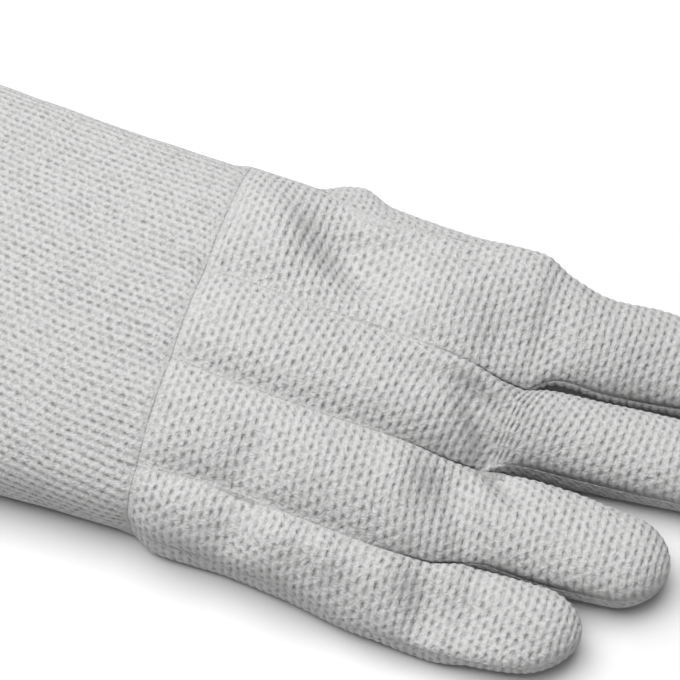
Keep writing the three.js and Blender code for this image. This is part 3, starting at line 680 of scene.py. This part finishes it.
def thumb_point(turn, w, depth):
    """Point on the thumb; w is 0 to 1 from the hole's rim to the tube, 2 along it, 3 at its tip."""
    rim = hole_rim(turn)
    sideways = rim - rim_middle
    sideways -= (sideways @ rim_out)[..., None] * rim_out
    sideways /= np.linalg.norm(sideways, axis=-1, keepdims=True)
    rim = rim + rim_out * THUMB_LIFT + sideways * (THUMB_LAP - depth)
    tip = np.maximum(0, w - 2) * math.pi / 2
    straight = mix(THUMB_START, THUMB_TIP - FINGERTIP_LENGTH, np.clip(w - 1, 0, 1))
    y = straight + (FINGERTIP_LENGTH - depth) * np.sin(tip)
    shape, angle = THUMB(y), np.radians(turn * 90 - 135)
    shrink = np.where(w >= 3, 0, np.cos(tip))
    x = shape["x"] + (shape["half"] - depth) * shrink * bent(np.cos(angle), THUMB_FLAT)
    half_height = shape["height"] / 2
    z = half_height + (half_height - depth) * shrink * bent(np.sin(angle), THUMB_FLAT)
    return mix(rim, point(x, y, z), np.clip(w, 0, 1)[..., None])


turns = even(lambda turn: thumb_point(turn, np.full_like(turn, TUBE_ROW), 0), 0, 4, THUMB_GRAIN)
parts = [even(lambda w: thumb_point(np.full_like(w, TUBE_COLUMN), w, 0), start, start + 1, THUMB_GRAIN)
         for start in range(3)]
w = np.concatenate([parts[0], parts[1][1:], parts[2][1:]])
outer = rows_of(lambda turn, w: thumb_point(turn, w, 0), w, turns)
inner = rows_of(lambda turn, w: thumb_point(turn, w, CLOTH), w[::INNER_STEP], turns[::INNER_STEP])
across, along = arc(outer, 1), arc(outer, 0)
thumb = Shell()
thumb.grid(outer[:, ::-1], inner[:, ::-1], point(across, along, along)[:, ::-1])
thumb_cloth = thumb.sew("thumb_cloth", hand_cloth, {**HAND_WEAVE, "Slack": 0.4, "Seed": 15.0}, "thumb")
thumb.width / 1000

# Cuff. A wide gauntlet sleeve of the same cloth, turned a quarter turn, is sewn on at the wrist. Its open
# end is turned in, so that the wall is thicker there and its edge is round.
CUFF_LENGTH = 150
CUFF_GRAIN = 0.8
# Distance from the wrist at which the columns are spaced
MIDWAY = 70
# Share of a soft run in the way from the wrist's outline to the mouth's, and how far and how soon the
# valleys between the strips smooth out
CUFF_SOFTNESS = 0.4
SEAM_EASE = 0.2
EASE_LENGTH = 8
MOUTH = {"x": -26, "half": 84, "height": 46, "round": 0.9, "flat": 0.66}
# Turned-in edge: its length, the run up to it, the wall's thickness there in cloths, and the round lip
HEM = 12
HEM_STEP = 3
HEM_THICKNESS = 1.8
LIP = 2.4
# The wrist's outline runs 0 to 4 over the four strips and 4 to 8 back under them; the sleeve's mesh starts
# under the palm's middle, opposite the middle of the back.
ROUND = 8
UNDER_PALM = 6
OUTLINE_POINTS = 1600


def wrist_outline(q, depth):
    """Point on the hand's wrist edge, for a place on the outline."""
    q = q % ROUND
    start = np.zeros_like(q)
    outline = np.zeros((*q.shape, 3))
    for finger in range(4):
        over = (q >= finger) & (q < finger + 1)
        outline[over] = back_point(finger, (q - finger)[over], start[over], depth)
        under = (q >= ROUND - 1 - finger) & (q < ROUND - finger)
        outline[under] = under_point(finger, (ROUND - finger - q)[under], start[under], depth)
    return outline


def eased_outline(depth):
    """The wrist's outline where the valleys between the strips have smoothed out, as a function of q."""
    q = np.linspace(0, ROUND, OUTLINE_POINTS, endpoint=False)
    sharp = wrist_outline(q, depth)
    waves = np.fft.rfft(sharp, axis=0)
    fade = np.exp(-2 * (math.pi * SEAM_EASE * np.arange(len(waves)) / ROUND) ** 2)
    line = np.fft.irfft(waves * fade[:, None], n=len(q), axis=0)
    low, high = sharp.min(axis=0), sharp.max(axis=0)
    size = np.ptp(line, axis=0)
    line = low + (line - line.min(axis=0)) / np.where(size > 0, size, 1) * (high - low)
    closed = np.vstack([line, line[:1]])
    knots = np.linspace(0, ROUND, OUTLINE_POINTS + 1)
    return lambda where: np.stack([np.interp(where % ROUND, knots, column) for column in closed.T], axis=-1)


eased = {depth: eased_outline(depth) for depth in (0, CLOTH)}


def cuff_point(q, y, depth):
    """Point on the sleeve; y runs from 0 at the wrist to -CUFF_LENGTH at the mouth."""
    along = -y / CUFF_LENGTH
    share = mix(along, smooth(along, 0, 1), CUFF_SOFTNESS)
    seam = wrist_outline(q, depth)
    seam[..., 2] += WRIST_GROOVE - wrist_groove(y)
    start = mix(seam, eased[depth](q), smooth(-y, 0, EASE_LENGTH)[..., None])
    angle = 2 * math.pi * q / ROUND
    doubled = (depth > 0) * smooth(-y, CUFF_LENGTH - HEM - HEM_STEP, CUFF_LENGTH - HEM)
    wall = depth * (1 + doubled * (HEM_THICKNESS - 1))
    lip = np.clip((-y - CUFF_LENGTH + LIP) / LIP, 0, 1)
    inward = wall + (-0.5 if depth else 0.5) * LIP * (1 - np.sqrt(1 - lip**2))
    x = MOUTH["x"] - (MOUTH["half"] - inward) * bent(np.cos(angle), MOUTH["round"])
    half_height = MOUTH["height"] / 2
    z = half_height + (half_height - inward) * bent(np.sin(angle), MOUTH["flat"])
    mouth = point(x, y, z)
    at = mix(start, mouth, share[..., None])
    at[..., 1] = y
    return at


q = even(lambda q: cuff_point(q, np.full_like(q, -MIDWAY), 0), UNDER_PALM, UNDER_PALM + ROUND, CUFF_GRAIN)
rows = INNER_STEP * round(CUFF_LENGTH / CUFF_GRAIN / INNER_STEP - 1) + 1
lip = LIP * (1 - np.sin(np.radians([22.5, 45, 67.5, 90])))
y = np.append(-np.linspace(0, CUFF_LENGTH - LIP, rows), lip - CUFF_LENGTH)
outer = rows_of(lambda q, y: cuff_point(q, y, 0), y, q)
inner = rows_of(lambda q, y: cuff_point(q, y, CLOTH), y[::INNER_STEP], q[::INNER_STEP])
across, along = arc(outer, 1), arc(outer, 0)
centre = across[:, [np.abs(q - (UNDER_PALM + ROUND / 2)).argmin()]]
cuff = Shell()
weave = point(along, across - centre, np.minimum(along * WRIST_FADE, along[-1:] - along))
cuff.grid(outer[:, ::-1], inner[:, ::-1], weave[:, ::-1])
cuff_cloth = cloth_material("cuff_cloth", light=(0.445, 0.445, 0.443, 1), dark=(0.24, 0.24, 0.238, 1))
CUFF_WEAVE = {**HAND_WEAVE, "Pitch Across": 3.9, "Pitch Along": 3.08, "Height": 0.33, "Slack": 2.0,
              "Seed": 21.0}
cuff_sleeve = cuff.sew("cuff_sleeve", cuff_cloth, CUFF_WEAVE, "cuff")
cuff.width / 1000

# Floor, light and camera. A plain pale table lies under one large soft lamp and a dim white sky, seen from
# the photograph's side.
floor_mesh = bpy.data.meshes.new("floor")
half = 3.0
low = -0.0008
corners = [(-half, -half, low), (half, -half, low), (half, half, low), (-half, half, low)]
floor_mesh.from_pydata(corners, [], [(0, 1, 2, 3)])
floor = bpy.data.objects.new("floor", floor_mesh)
bpy.context.collection.objects.link(floor)
pale = bpy.data.materials.new("pale")
pale.use_nodes = True
pale.node_tree.nodes["Principled BSDF"].inputs["Base Color"].default_value = (0.62, 0.62, 0.62, 1)
pale.node_tree.nodes["Principled BSDF"].inputs["Roughness"].default_value = 0.8
floor_mesh.materials.append(pale)

world = bpy.data.worlds.new("studio")
world.use_nodes = True
world.node_tree.nodes["Background"].inputs["Color"].default_value = (1, 1, 1, 1)
world.node_tree.nodes["Background"].inputs["Strength"].default_value = 0.24
bpy.context.scene.world = world

lamp_data = bpy.data.lights.new("softbox", "AREA")
lamp_data.shape = "SQUARE"
lamp_data.size = 1.6
lamp_data.energy = 45
lamp = bpy.data.objects.new("softbox", lamp_data)
lamp.location = (-0.03, -0.36, 1.42)
lamp.rotation_euler = (Vector((0, 0, 0)) - lamp.location).to_track_quat("-Z", "Y").to_euler()
bpy.context.collection.objects.link(lamp)

camera_data = bpy.data.cameras.new("camera")
camera_data.lens = 158.4
camera_data.clip_start = 0.05
camera = bpy.data.objects.new("camera", camera_data)
turn, lift = math.radians(17), math.radians(55)
right = Vector((-math.sin(turn), math.cos(turn), 0))
ahead = Vector((-math.cos(turn) * math.cos(lift), -math.sin(turn) * math.cos(lift), -math.sin(lift)))
up = right.cross(ahead)
turned = Matrix((right, up, -ahead)).transposed().to_4x4()
place = Vector((0.5767, 0.2035, 0.9071))
camera.matrix_world = Matrix.Translation(place) @ turned
bpy.context.collection.objects.link(camera)
bpy.context.scene.camera = camera
bpy.context.scene.view_settings.view_transform = "Standard"
